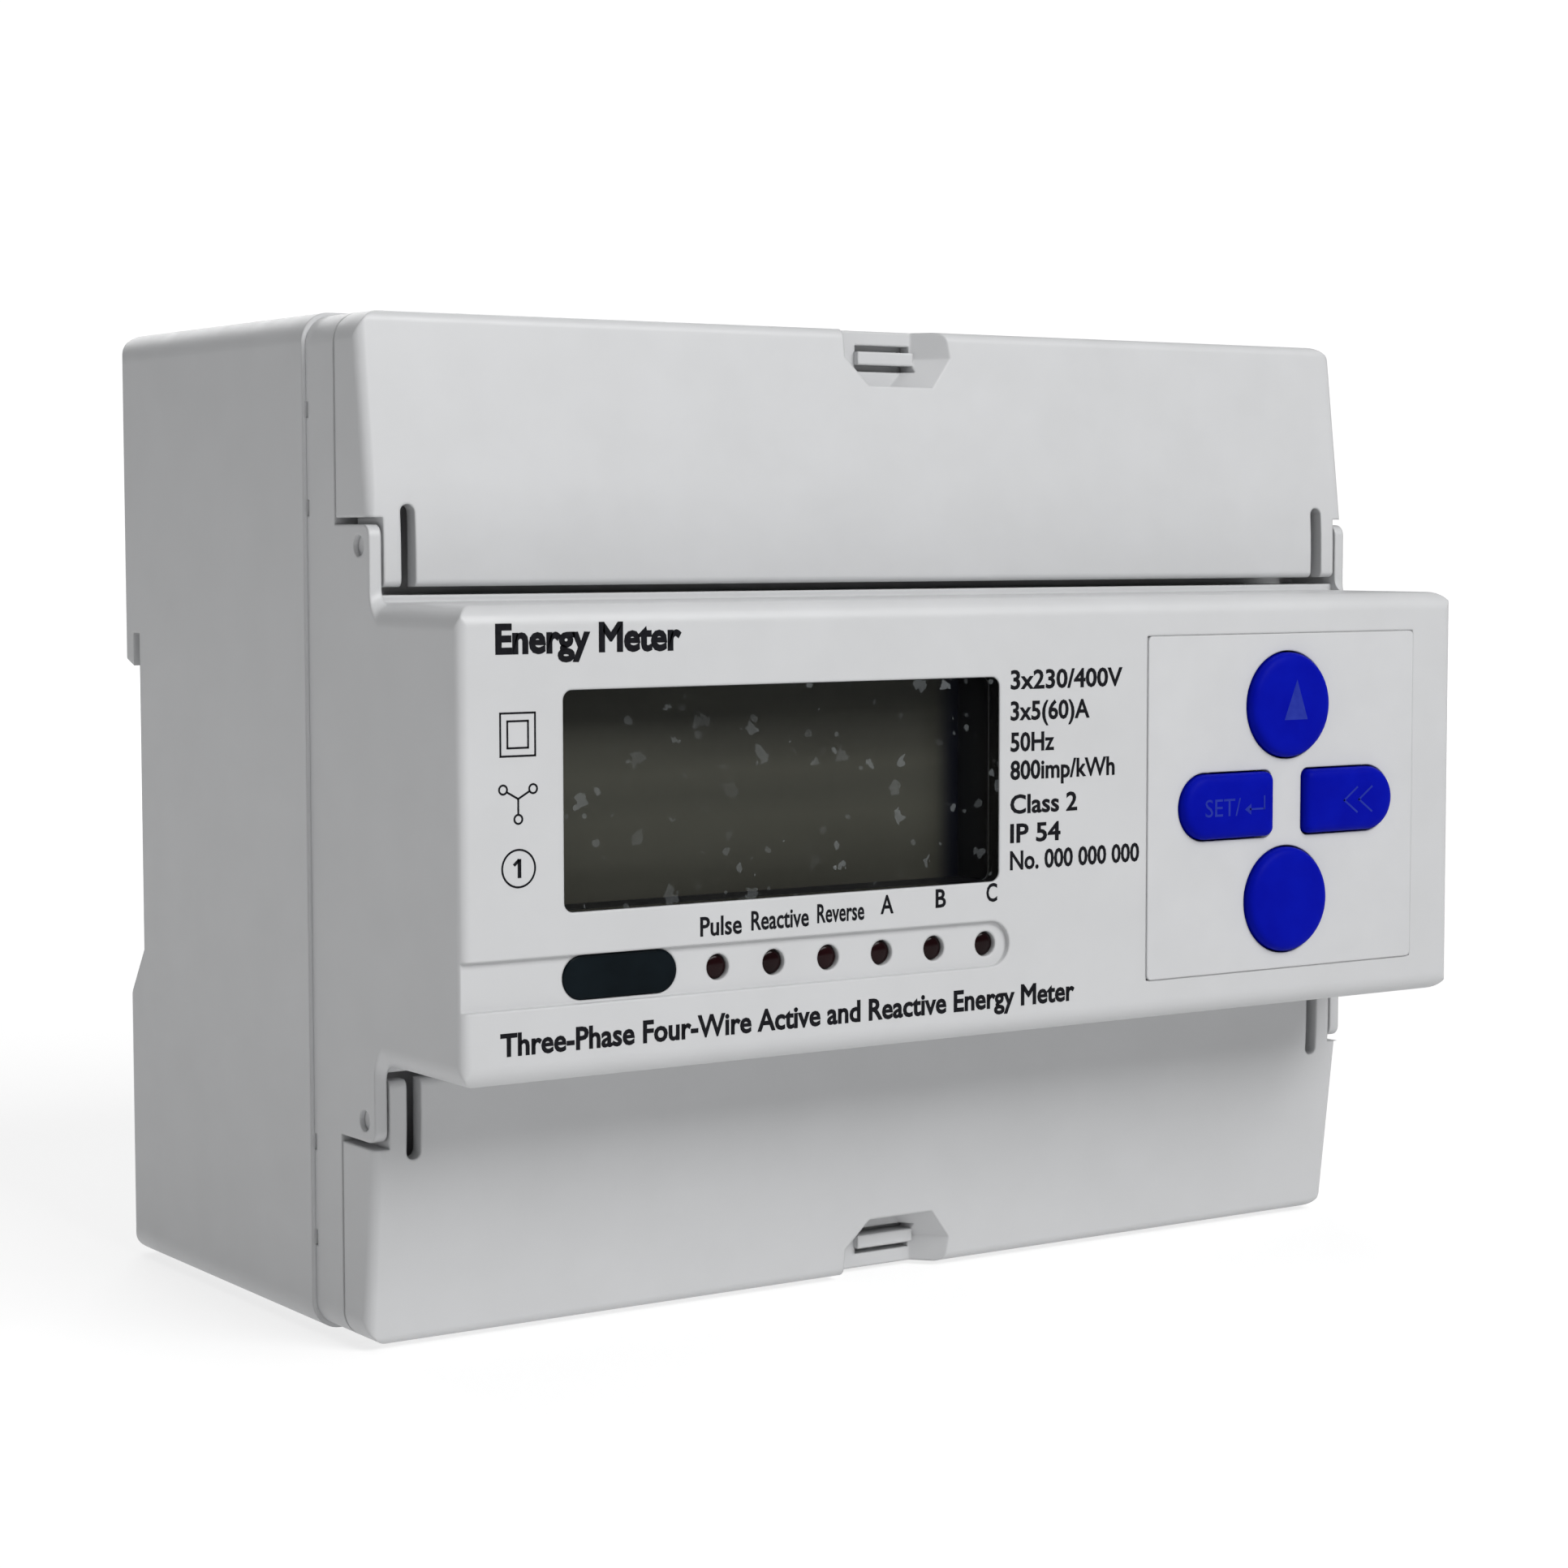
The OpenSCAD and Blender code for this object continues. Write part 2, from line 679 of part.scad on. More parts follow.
// Clamp cage with a threaded front wall. It draws the wire against the bar.
module cage(i) color(brass) translate([main_x[i], 0, terminal_z]) difference() {
    box([-cage_w / 2, cage_y, -cage_h / 2], [cage_w / 2, cage_y + cage_d, cage_h / 2]);
    box([-4.5, cage_y + 3, -cage_h], [4.5, cage_y + 13.6, cage_h]);
    rod_y(0, 0, cage_y - 1, cage_y + 4, screw_r + 0.05);
}

module terminal_screw(i) color(metal) translate([main_x[i], 0, terminal_z]) difference() {
    union() {
        rod_y(0, 0, y_deck + wall + 0.3, y_deck + wall + 2.8, 3.3);
        rod_y(0, 0, y_deck + wall + 2.5, blade_y - 0.3, screw_r);
    }
    box([-4, y_deck, -0.5], [4, y_deck + wall + 1.6, 0.5]);
}

module clamp_part(i, part) { if (part == "cage") cage(i); else terminal_screw(i); }
module upper(i, part) at_middle() clamp_part(i, part);
module lower(i, part) at_middle() mirror([0, 0, 1]) clamp_part(i, part);

module cage_top_1() upper(0, "cage");
module cage_top_2() upper(1, "cage");
module cage_top_3() upper(2, "cage");
module cage_top_4() upper(3, "cage");
module cage_bottom_1() lower(0, "cage");
module cage_bottom_2() lower(1, "cage");
module cage_bottom_3() lower(2, "cage");
module cage_bottom_4() lower(3, "cage");
module screw_top_1() upper(0, "screw");
module screw_top_2() upper(1, "screw");
module screw_top_3() upper(2, "screw");
module screw_top_4() upper(3, "screw");
module screw_bottom_1() lower(0, "screw");
module screw_bottom_2() lower(1, "screw");
module screw_bottom_3() lower(2, "screw");
module screw_bottom_4() lower(3, "screw");

// ---- signal terminals ----

function signal_x(i) = pad_x + (i - (signals - 1) / 2) * 5;

module signal_block() color([0.1, 0.4, 0.2]) at_middle() difference() {
    union() {
        box([17, y_nose + 28.8, -45.8], [59, 9, -29]);
        box([18, y_deck + 0.3, -42], [58, y_nose + 29, -31]);
        box([18, -5, 0.2 - mid_z], [58, 5, -45]);
    }
    for (i = [0:signals - 1]) {
        rod_z(signal_x(i), 0, -mid_z - 1, -34, 1.4);
        rod_y(signal_x(i), -36.5, y_deck, -3, 1.7);
    }
}

module signal_screws() color(metal) at_middle() for (i = [0:signals - 1]) difference() {
    rod_y(signal_x(i), -36.5, y_deck + 1.4, -3.2, 1.6);
    box([signal_x(i) - 2, y_deck, -36.75], [signal_x(i) + 2, y_deck + 2.2, -36.25]);
}

// ---- rail clips ----

// Sliding clip. Its nose holds the lower edge of the rail, and its window holds the spring.
module rail_clip() difference() {
    union() {
        box([-10, y_back - 3.2, -47], [10, y_back - 2.2, -24]);
        box([-7, y_back - 3.2, -48.5], [7, y_back - 0.2, rail_low + 2.4]);
    }
    box([-4.5, y_back - 4, -41], [4.5, y_back + 1, -27]);
    // lead-in slope on the nose
    along_x(-8, 8) polygon([
        [y_back - 2.6, rail_low + 3],
        [y_back + 1, rail_low + 3],
        [y_back + 1, rail_low - 3.5]
    ]);
    // screwdriver slot at the foot
    box([-3, y_back - 4, -46.5], [3, y_back + 1, -44.5]);
}

// Flat wire spring, folded five times, between the seat and the top of the clip's window.
module clip_spring() {
    folds = 5;
    rise = 10.9 / folds;
    strip = 0.5;
    r = (rise + strip) / 2;
    along_y(y_back - 2.9, y_back - 1.5) translate([0, -38.5]) {
        for (i = [0:folds]) {
            z = i * rise;
            translate([-2.4, z]) square([4.8, strip]);
        }
        for (i = [0:folds - 1]) {
            s = i % 2 == 0 ? 1 : -1;
            translate([s * 2.4, i * rise + r]) difference() {
                intersection() {
                    circle(r);
                    translate([s > 0 ? 0 : -4, -4]) square([4, 8]);
                }
                circle(r - strip);
            }
        }
    }
}

module rail_clip_left() color(dark) at_middle() translate([-clip_x, 0, 0]) rail_clip();
module rail_clip_right() color(dark) at_middle() translate([clip_x, 0, 0]) rail_clip();
module clip_spring_left() color(metal) at_middle() translate([-clip_x, 0, 0]) clip_spring();
module clip_spring_right() color(metal) at_middle() translate([clip_x, 0, 0]) clip_spring();

back_housing();
front_housing();
top_cover();
bottom_cover();
display_window();
ir_window();
keypad_plate();
key_up();
key_down();
key_set();
key_back();
plunger_up();
plunger_down();
plunger_set();
plunger_back();
key_switches();
display_board();
lcd_frame();
lcd_panel();
lcd_backlight();
indicator_leds();
ir_diodes();
board_link();
main_board();
current_transformers();
phase_busbars();
neutral_busbar();
power_transformer();
capacitors();
varistors();
circuit_chips();
backup_battery();
terminal_block_top();
terminal_block_bottom();
cage_top_1();
cage_top_2();
cage_top_3();
cage_top_4();
cage_bottom_1();
cage_bottom_2();
cage_bottom_3();
cage_bottom_4();
screw_top_1();
screw_top_2();
screw_top_3();
screw_top_4();
screw_bottom_1();
screw_bottom_2();
screw_bottom_3();
screw_bottom_4();
signal_block();
signal_screws();
rail_clip_left();
rail_clip_right();
clip_spring_left();
clip_spring_right();
board_screws();
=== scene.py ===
"""Looks of the rail-mounted three-phase meter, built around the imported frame."""
import math

import bmesh
import bpy
from mathutils import Matrix, Vector

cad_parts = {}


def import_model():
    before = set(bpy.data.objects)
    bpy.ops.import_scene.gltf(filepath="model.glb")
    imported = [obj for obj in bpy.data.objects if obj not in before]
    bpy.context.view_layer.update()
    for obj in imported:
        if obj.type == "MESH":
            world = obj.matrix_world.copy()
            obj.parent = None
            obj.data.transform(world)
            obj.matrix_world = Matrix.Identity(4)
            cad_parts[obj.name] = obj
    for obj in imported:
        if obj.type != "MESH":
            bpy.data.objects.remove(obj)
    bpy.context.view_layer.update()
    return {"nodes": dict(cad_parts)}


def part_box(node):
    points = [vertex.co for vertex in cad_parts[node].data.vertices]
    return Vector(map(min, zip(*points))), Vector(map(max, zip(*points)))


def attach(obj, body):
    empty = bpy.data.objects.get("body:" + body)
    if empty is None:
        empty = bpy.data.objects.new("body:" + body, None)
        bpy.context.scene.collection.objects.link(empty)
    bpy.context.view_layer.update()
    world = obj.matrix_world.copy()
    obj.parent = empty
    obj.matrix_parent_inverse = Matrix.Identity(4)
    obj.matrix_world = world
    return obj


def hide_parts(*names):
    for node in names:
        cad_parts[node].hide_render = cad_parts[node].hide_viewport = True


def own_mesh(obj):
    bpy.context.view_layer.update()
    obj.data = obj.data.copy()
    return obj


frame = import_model()
nodes = frame["nodes"]
MM = 0.001
TAU = 2 * math.pi


# ---- places taken from the frame ----

FACE_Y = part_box("front_housing")[0].y       # front face of the nose
MID_Z = sum(corner.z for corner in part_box("keypad_plate")) / 2
KEY_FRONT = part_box("key_up")[0].y


# ---- camera ----

# lens in millimetres, place and directions as fitted to the photo's viewing angle
CAMERA_LENS = 76.65
CAMERA_PLACE = Vector((-0.20925, FACE_Y - 0.27063, MID_Z + 0.02863))
CAMERA_RIGHT = Vector((0.83, -0.5578, -0.0017))
CAMERA_AHEAD = Vector((0.5562, 0.8278, -0.0734))


def make_camera():
    data = bpy.data.cameras.new("camera")
    data.sensor_width = 36
    data.lens = CAMERA_LENS
    data.clip_start, data.clip_end = 0.01, 20
    cam = bpy.data.objects.new("camera", data)
    right = CAMERA_RIGHT.normalized()
    ahead = (CAMERA_AHEAD - right * CAMERA_AHEAD.dot(right)).normalized()
    up = right.cross(ahead).normalized()
    turn = Matrix((right, up, -ahead)).transposed().to_4x4()
    cam.matrix_world = Matrix.Translation(CAMERA_PLACE) @ turn
    bpy.context.scene.collection.objects.link(cam)
    bpy.context.scene.camera = cam


make_camera()


# ---- materials ----

class Nodes:
    """Short hand for building the node tree of a material or a world."""

    def __init__(self, owner, output="OutputMaterial"):
        self.owner = owner
        owner.use_nodes = True
        self.tree = owner.node_tree
        self.tree.nodes.clear()
        self.out = self.add(output)
        self.coords = self.add("TexCoord")

    def add(self, kind, **settings):
        node = self.tree.nodes.new("ShaderNode" + kind)
        for key, value in settings.items():
            setattr(node, key, value)
        return node

    def link(self, source, target):
        self.tree.links.new(source, target)

    def noise(self, scale, detail=2.0, stretch=(1, 1, 1)):
        """Noise in object space. The scale is in features per metre."""
        mapping = self.add("Mapping")
        mapping.inputs["Scale"].default_value = stretch
        self.link(self.coords.outputs["Object"], mapping.inputs["Vector"])
        tex = self.add("TexNoise")
        tex.inputs["Scale"].default_value = scale
        tex.inputs["Detail"].default_value = detail
        self.link(mapping.outputs[0], tex.inputs["Vector"])
        return tex.outputs["Fac"]

    def ramp(self, source, stops):
        node = self.add("ValToRGB")
        ramp = node.color_ramp
        while len(ramp.elements) < len(stops):
            ramp.elements.new(0.5)
        for element, (place, value) in zip(ramp.elements, stops):
            element.position = place
            element.color = (value, value, value, 1) if isinstance(value, float) else (*value, 1)
        self.link(source, node.inputs["Fac"])
        return node.outputs["Color"]

    def bump(self, height, strength, distance):
        node = self.add("Bump")
        node.inputs["Strength"].default_value = strength
        node.inputs["Distance"].default_value = distance
        self.link(height, node.inputs["Height"])
        return node.outputs["Normal"]

    def spread(self, source, start, end, low, high):
        """Maps start..end of the source evenly to low..high."""
        node = self.add("MapRange")
        for socket, value in (("From Min", start), ("From Max", end), ("To Min", low),
                              ("To Max", high)):
            node.inputs[socket].default_value = value
        self.link(source, node.inputs["Value"])
        return node.outputs[0]

    def maths(self, operation, a, b):
        """One operation on two values, each a number or the output of a node."""
        node = self.add("Math", operation=operation)
        for socket, value in zip(node.inputs, (a, b)):
            if isinstance(value, (int, float)):
                socket.default_value = value
            else:
                self.link(value, socket)
        return node.outputs[0]

    def tint(self, share, source, colour):
        """Lays a colour over the source, by the given share."""
        node = self.add("Mix", data_type="RGBA")
        self.link(share, node.inputs["Factor"])
        self.link(source, node.inputs["A"])
        node.inputs["B"].default_value = (*colour, 1)
        return node.outputs["Result"]

    def blend(self, share, first, second):
        """Mixes two shaders. The second one shows where the share is 1."""
        node = self.add("MixShader")
        for source, socket in zip((share, first, second), node.inputs):
            self.link(source, socket)
        return node.outputs[0]

    def finish(self, shader):
        self.link(shader, self.out.inputs["Surface"])
        return self.owner


def new_material(name):
    return Nodes(bpy.data.materials.new(name))


GRAIN_DEPTH = 0.02 * MM


def solid(name, dark, light, rough=(0.4, 0.5), patch=120, grain=4000, strength=0.15,
          metallic=0.0, coat=0.0, stretch=(1, 1, 1), gloss=0.5, edge=0.0):
    """Moulded, painted or metal surface: two close tones, uneven gloss and a fine grain.

    patch and grain are in features per metre. edge is the radius that softens the light on
    sharp edges.
    """
    n = new_material(name)
    shader = n.add("BsdfPrincipled")
    shader.inputs["Metallic"].default_value = metallic
    shader.inputs["Coat Weight"].default_value = coat
    shader.inputs["Coat Roughness"].default_value = 0.08
    shader.inputs["Specular IOR Level"].default_value = gloss
    tone = n.noise(patch, 3.0, stretch)
    n.link(n.ramp(tone, [(0.3, dark), (0.7, light)]), shader.inputs["Base Color"])
    n.link(n.ramp(n.noise(patch * 4, 4.0, stretch), [(0.3, rough[0]), (0.7, rough[1])]),
           shader.inputs["Roughness"])
    bump = n.bump(n.noise(grain, 3.0, stretch), strength, GRAIN_DEPTH)
    if edge:
        soft = n.add("Bevel", samples=6)
        soft.inputs["Radius"].default_value = edge
        n.link(soft.outputs[0], bump.node.inputs["Normal"])
    n.link(bump, shader.inputs["Normal"])
    return n.finish(shader.outputs[0])


SHELL_DARK, SHELL_LIGHT = (0.563, 0.568, 0.576), (0.583, 0.588, 0.597)
mats = {
    "housing": solid("housing", SHELL_DARK, SHELL_LIGHT, (0.36, 0.46), edge=0.4 * MM),
    "cover": solid("cover", SHELL_DARK, SHELL_LIGHT, (0.36, 0.46), edge=0.4 * MM),
    "keypad": solid("keypad", (0.570, 0.575, 0.585), (0.600, 0.605, 0.615), (0.34, 0.42),
                    edge=0.25 * MM),
    "key_blue": solid("key_blue", (0.0003, 0.0030, 0.31), (0.0007, 0.0050, 0.355), (0.46, 0.58),
                      patch=300, gloss=0.04),
    "ir_dark": solid("ir_dark", (0.0015, 0.0035, 0.005), (0.004, 0.008, 0.011), (0.06, 0.20),
                     patch=200, grain=1500, strength=0.05, gloss=0.07, edge=0.35 * MM),
    "black_plastic": solid("black_plastic", (0.010, 0.010, 0.014), (0.018, 0.018, 0.024)),
    "grey_plastic": solid("grey_plastic", (0.10, 0.105, 0.11), (0.13, 0.135, 0.14), (0.45, 0.6)),
    "green_plastic": solid("green_plastic", (0.012, 0.20, 0.06), (0.02, 0.25, 0.08)),
    "diffuser": solid("diffuser", (0.80, 0.80, 0.77), (0.86, 0.86, 0.83), (0.5, 0.6)),
    "lamp_red": solid("lamp_red", (0.006, 0.0016, 0.0020), (0.015, 0.003, 0.004), (0.10, 0.18),
                      patch=150, gloss=0.16),
    "ribbon": solid("ribbon", (0.62, 0.62, 0.58), (0.72, 0.72, 0.68), stretch=(8, 1, 1)),
    "core_blue": solid("core_blue", (0.010, 0.04, 0.16), (0.016, 0.06, 0.21)),
    "copper_tin": solid("copper_tin", (0.62, 0.46, 0.22), (0.72, 0.56, 0.30), (0.22, 0.38),
                        metallic=1.0, stretch=(1, 1, 6)),
    "steel": solid("steel", (0.52, 0.52, 0.50), (0.66, 0.66, 0.64), (0.22, 0.36), metallic=1.0),
    "tape_yellow": solid("tape_yellow", (0.50, 0.34, 0.05), (0.60, 0.42, 0.08)),
    "battery_wrap": solid("battery_wrap", (0.42, 0.03, 0.03), (0.50, 0.05, 0.04), coat=0.3),
    "ink": solid("ink", (0.003, 0.003, 0.005), (0.008, 0.008, 0.011), (0.5, 0.62), patch=2000,
                 gloss=0.12),
    "legend": solid("legend", (0.012, 0.024, 0.29), (0.020, 0.036, 0.33), (0.5, 0.6), patch=900,
                    gloss=0.1),
}


def board_material():
    """Green solder mask over copper tracks."""
    n = new_material("board")
    shader = n.add("BsdfPrincipled")
    shader.inputs["Coat Weight"].default_value = 0.4
    shader.inputs["Coat Roughness"].default_value = 0.15
    tex = n.add("TexBrick")
    tex.inputs["Scale"].default_value = 160
    tex.inputs["Mortar Size"].default_value = 0.03
    n.link(n.coords.outputs["Object"], tex.inputs["Vector"])
    for socket, tone in (("Color1", (0.012, 0.14, 0.05)), ("Color2", (0.016, 0.17, 0.06)),
                         ("Mortar", (0.03, 0.26, 0.10))):
        tex.inputs[socket].default_value = (*tone, 1)
    n.link(tex.outputs["Color"], shader.inputs["Base Color"])
    n.link(n.ramp(n.noise(900), [(0.3, 0.3), (0.7, 0.45)]), shader.inputs["Roughness"])
    n.link(n.bump(tex.outputs["Fac"], 0.3, 0.03 * MM), shader.inputs["Normal"])
    return n.finish(shader.outputs[0])


def lcd_material():
    """Liquid crystal glass while it is off: olive grey in soft bands, darker towards the top, with
    painted shade along its bottom edge and painted navy shade at its right end, beside the frame's
    wall.
    """
    n = new_material("lcd")
    shader = n.add("BsdfPrincipled")
    shader.inputs["Specular IOR Level"].default_value = 0.2
    split = n.add("SeparateXYZ")
    n.link(n.coords.outputs["Object"], split.inputs[0])
    low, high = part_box("lcd_panel")

    def span(axis, start, end):
        node = n.add("MapRange", interpolation_type="SMOOTHSTEP")
        node.inputs["From Min"].default_value = start
        node.inputs["From Max"].default_value = end
        n.link(split.outputs[axis], node.inputs["Value"])
        return node.outputs[0]

    # soft bands up the panel: darker towards the top, with painted shade of the recess along the
    # bottom edge
    base = n.ramp(span("Z", low.z, high.z), [
        (0.0, (0.088, 0.083, 0.062)), (0.30, (0.122, 0.116, 0.088)), (0.46, (0.106, 0.101, 0.078)),
        (0.60, (0.120, 0.114, 0.087)), (0.72, (0.088, 0.083, 0.064)), (1.0, (0.070, 0.067, 0.054))])
    clouds = n.ramp(n.noise(60, 2.0, (0.4, 1, 3)), [(0.4, 0.0), (0.65, 0.5)])
    cloudy = n.tint(clouds, base, (0.134, 0.128, 0.098))
    # painted navy shade at the right end, where the frame's wall stands beside the panel
    end = span("X", high.x - 4.2 * MM, high.x - 1.3 * MM)
    n.link(n.tint(end, cloudy, (0.006, 0.008, 0.020)), shader.inputs["Base Color"])
    n.link(n.ramp(n.noise(700), [(0.3, 0.40), (0.7, 0.52)]), shader.inputs["Roughness"])
    return n.finish(shader.outputs[0])


def lens_material():
    """Clear window with the dust and torn flakes of its protective film on the front."""
    n = new_material("clear")
    clear = n.add("BsdfTransparent")
    clear.inputs["Color"].default_value = (0.90, 0.91, 0.92, 1)
    gloss = n.add("BsdfPrincipled")
    gloss.inputs["Base Color"].default_value = (0.02, 0.02, 0.02, 1)
    gloss.inputs["IOR"].default_value = 1.49
    n.link(n.ramp(n.noise(500), [(0.3, 0.05), (0.7, 0.14)]), gloss.inputs["Roughness"])
    edge = n.add("Fresnel")
    edge.inputs["IOR"].default_value = 1.35
    pane = n.blend(edge.outputs[0], clear.outputs[0], gloss.outputs[0])
    split = n.add("SeparateXYZ")
    n.link(n.coords.outputs["Object"], split.inputs[0])

    def flakes(scale, warp, share, cover):
        """Torn shapes scattered over the face. share of the cells hold one of size cover."""
        place = n.add("CombineXYZ")
        n.link(split.outputs["X"], place.inputs["X"])
        n.link(split.outputs["Z"], place.inputs["Y"])
        rough = n.add("TexNoise")
        rough.inputs["Scale"].default_value = 1100
        n.link(place.outputs[0], rough.inputs["Vector"])
        shift = n.add("VectorMath", operation="SCALE")
        shift.inputs["Scale"].default_value = warp
        n.link(rough.outputs["Color"], shift.inputs[0])
        moved = n.add("VectorMath", operation="ADD")
        n.link(place.outputs[0], moved.inputs[0])
        n.link(shift.outputs[0], moved.inputs[1])
        cells = n.add("TexVoronoi", voronoi_dimensions="2D")
        cells.inputs["Scale"].default_value = scale
        n.link(moved.outputs[0], cells.inputs["Vector"])
        pick = n.add("SeparateColor")
        n.link(cells.outputs["Color"], pick.inputs[0])
        size = n.maths("MULTIPLY", pick.outputs[1], cover)
        inside = n.maths("GREATER_THAN", size, cells.outputs["Distance"])
        chosen = n.maths("LESS_THAN", pick.outputs[0], share)
        return n.maths("MULTIPLY", n.maths("MULTIPLY", inside, chosen), pick.outputs[2])

    film_depth, film_opacity = 0.6 * MM, 0.18
    front = n.maths("LESS_THAN", split.outputs["Y"], FACE_Y + film_depth)
    both = n.maths("MAXIMUM", flakes(300, 2.2 * MM, 0.42, 0.26),
                   flakes(620, 0.8 * MM, 0.24, 0.30))
    patchy = n.ramp(n.noise(90, 3.0), [(0.35, 0.25), (0.62, 1.0)])
    dust = n.add("BsdfPrincipled")
    dust.inputs["Base Color"].default_value = (0.50, 0.54, 0.56, 1)
    dust.inputs["Roughness"].default_value = 0.7
    shown = n.maths("MULTIPLY", both, patchy)
    film = n.maths("MULTIPLY", shown, n.maths("MULTIPLY", front, film_opacity))
    return n.finish(n.blend(film, pane, dust.outputs[0]))


mats["board"] = board_material()
mats["lcd"] = lcd_material()
mats["clear"] = lens_material()


# ---- carried-over CAD nodes ----

def dress_node(obj):
    for slot in obj.material_slots:
        slot.material = mats[slot.material.name.split(".")[0]]


for node_object in nodes.values():
    dress_node(node_object)


# ---- helpers for new pieces ----

def piece(name, mesh, slot, body, material=None):
    obj = bpy.data.objects.new(name, mesh)
    bpy.context.scene.collection.objects.link(obj)
    mesh.materials.append(mats[material or slot])
    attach(obj, body)
    return obj


def smooth(mesh, angle=35):
    mesh.polygons.foreach_set("use_smooth", [True] * len(mesh.polygons))
    mesh.set_sharp_from_angle(angle=math.radians(angle))


def mesh_of(bm, name):
    mesh = bpy.data.meshes.new(name)
    bmesh.ops.recalc_face_normals(bm, faces=bm.faces)
    bm.to_mesh(mesh)
    bm.free()
    return mesh


def spot(x, y, z):
    """Point in metres from millimetres, with its height counted from the body's middle."""
    return x * MM, y * MM, z * MM + MID_Z


def circle(x, z, radius, y, steps=32):
    """Points of a circle around (x, z) at the depth y, all in millimetres."""
    turns = [TAU * i / steps for i in range(steps)]
    return [spot(x + radius * math.cos(a), y, z + radius * math.sin(a)) for a in turns]


def join(bm, a, b):
    """Skin between two closed loops with the same number of vertices."""
    for i in range(len(a)):
        j = (i + 1) % len(a)
        bm.faces.new((a[i], a[j], b[j], b[i]))


def loft(bm, rings):
    """Joins rings of points, each a list of (x, y, z) in metres, into one closed skin."""
    made = [[bm.verts.new(p) for p in ring] for ring in rings]
    for a, b in zip(made, made[1:]):
        join(bm, a, b)
    bm.faces.new(made[0])
    bm.faces.new(list(reversed(made[-1])))


def block(bm, low, high):
    """Box with rounded edges between two corners, in millimetres as in spot."""
    rounding = 0.12
    size = [h - l for l, h in zip(low, high)]
    made = bmesh.ops.create_cube(bm, size=1)["verts"]
    for v in made:
        v.co = spot(*[l + s * (c + 0.5) for l, s, c in zip(low, size, v.co)])
    edges = list({e for v in made for e in v.link_edges})
    bmesh.ops.bevel(bm, geom=edges, offset=rounding * MM, segments=2, affect="EDGES",
                    profile=0.5)


# ---- printed ink ----

INK = 0.02                     # thickness of a print
CAPITAL = 0.72                 # height of a capital letter at the font's size 1


def raised(bm, outline, front):
    """Flat print with the given (x, z) outline. Its face is at the depth front."""
    loft(bm, [[spot(x, y, z) for x, z in outline] for y in (front + INK, front)])


def bar(bm, a, b, width, front):
    """Printed line from a to b, with square ends."""
    along = Vector((b[0] - a[0], b[1] - a[1])).normalized()
    side = Vector((-along.y, along.x)) * width / 2
    a, b = Vector(a) - along * width / 2, Vector(b) + along * width / 2
    raised(bm, [a + side, a - side, b - side, b + side], front)


def ring(bm, centre, radius, width, front, steps=48):
    """Printed ring, as four loops that are joined all the way round."""
    outer, inner, back = radius + width / 2, radius - width / 2, front + INK
    loops = [[bm.verts.new(p) for p in circle(*centre, r, y, steps)]
             for r, y in ((outer, front), (outer, back), (inner, back), (inner, front))]
    for a, b in zip(loops, loops[1:] + loops[:1]):
        join(bm, a, b)


def embolden(mesh, weight):
    """Moves a flat letter's outline outwards, with its sharp corners held back."""
    bm = bmesh.new()
    bm.from_mesh(mesh)
    bmesh.ops.remove_doubles(bm, verts=bm.verts, dist=1e-5)
    bm.normal_update()
    moves = {}
    for vert in bm.verts:
        sides = {tuple(round(c, 3) for c in face.normal) for face in vert.link_faces
                 if abs(face.normal.z) < 0.5}
        total = sum((Vector(side) for side in sides), Vector())
        if total.length > 0.1:
            reach = min(len(sides) / total.length, 1.5)
            moves[vert] = total.normalized() * reach * weight
    for vert, move in moves.items():
        vert.co += move
    bm.to_mesh(mesh)
    bm.free()


def lettering(name, text, x, z, cap, width=None, weight=0.0, align="LEFT", front=None,
              body="meter", slot="housing", material="ink"):
    """Generic lettering as a thin raised print.

    x and z give its lower left or lower middle, cap the height of its capitals and weight how
    far its outline moves out, at the font's size 1.
    """
    curve = bpy.data.curves.new(name, "FONT")
    curve.body = text
    curve.size = 1.0
    curve.align_x = align
    curve.resolution_u = 3
    curve.extrude = 0.001
    holder = bpy.data.objects.new(name + "_text", curve)
    bpy.context.scene.collection.objects.link(holder)
    bpy.context.view_layer.update()
    mesh = bpy.data.meshes.new_from_object(holder.evaluated_get(
        bpy.context.evaluated_depsgraph_get()))
    bpy.data.objects.remove(holder)
    embolden(mesh, weight)
    scale = cap / CAPITAL
    xs = [v.co.x for v in mesh.vertices]
    squeeze = width / ((max(xs) - min(xs)) * scale) if width else 1.0
    shift = min(xs) if align == "LEFT" else (max(xs) + min(xs)) / 2
    front = FACE_Y / MM - INK if front is None else front
    for v in mesh.vertices:
        deep = 0 if v.co.z > 0 else INK
        v.co = spot(x + (v.co.x - shift) * scale * squeeze, front + deep, z + v.co.y * scale)
    return piece(name, mesh, slot, body, material)


lettering("title_print", "Energy Meter", -59.5, 18.1, 2.7, 20.3, weight=0.043)

RATING_X, RATING_CAP, RATING_WEIGHT = 0.55, 1.95, 0.025
RATINGS = (                    # text, height of its foot, width
    ("3x230/400V", 13.2, 14.8), ("3x5(60)A", 10.0, 10.4), ("50Hz", 6.8, 5.7),
    ("800imp/kWh", 3.9, 13.8), ("Class 2", 0.4, 8.8), ("IP 54", -2.6, 6.6),
    ("No. 000 000 000", -5.4, 17.2))
for i, (line, z, width) in enumerate(RATINGS):
    lettering(f"rating_print_{i + 1}", line, RATING_X, z, RATING_CAP, width, RATING_WEIGHT)

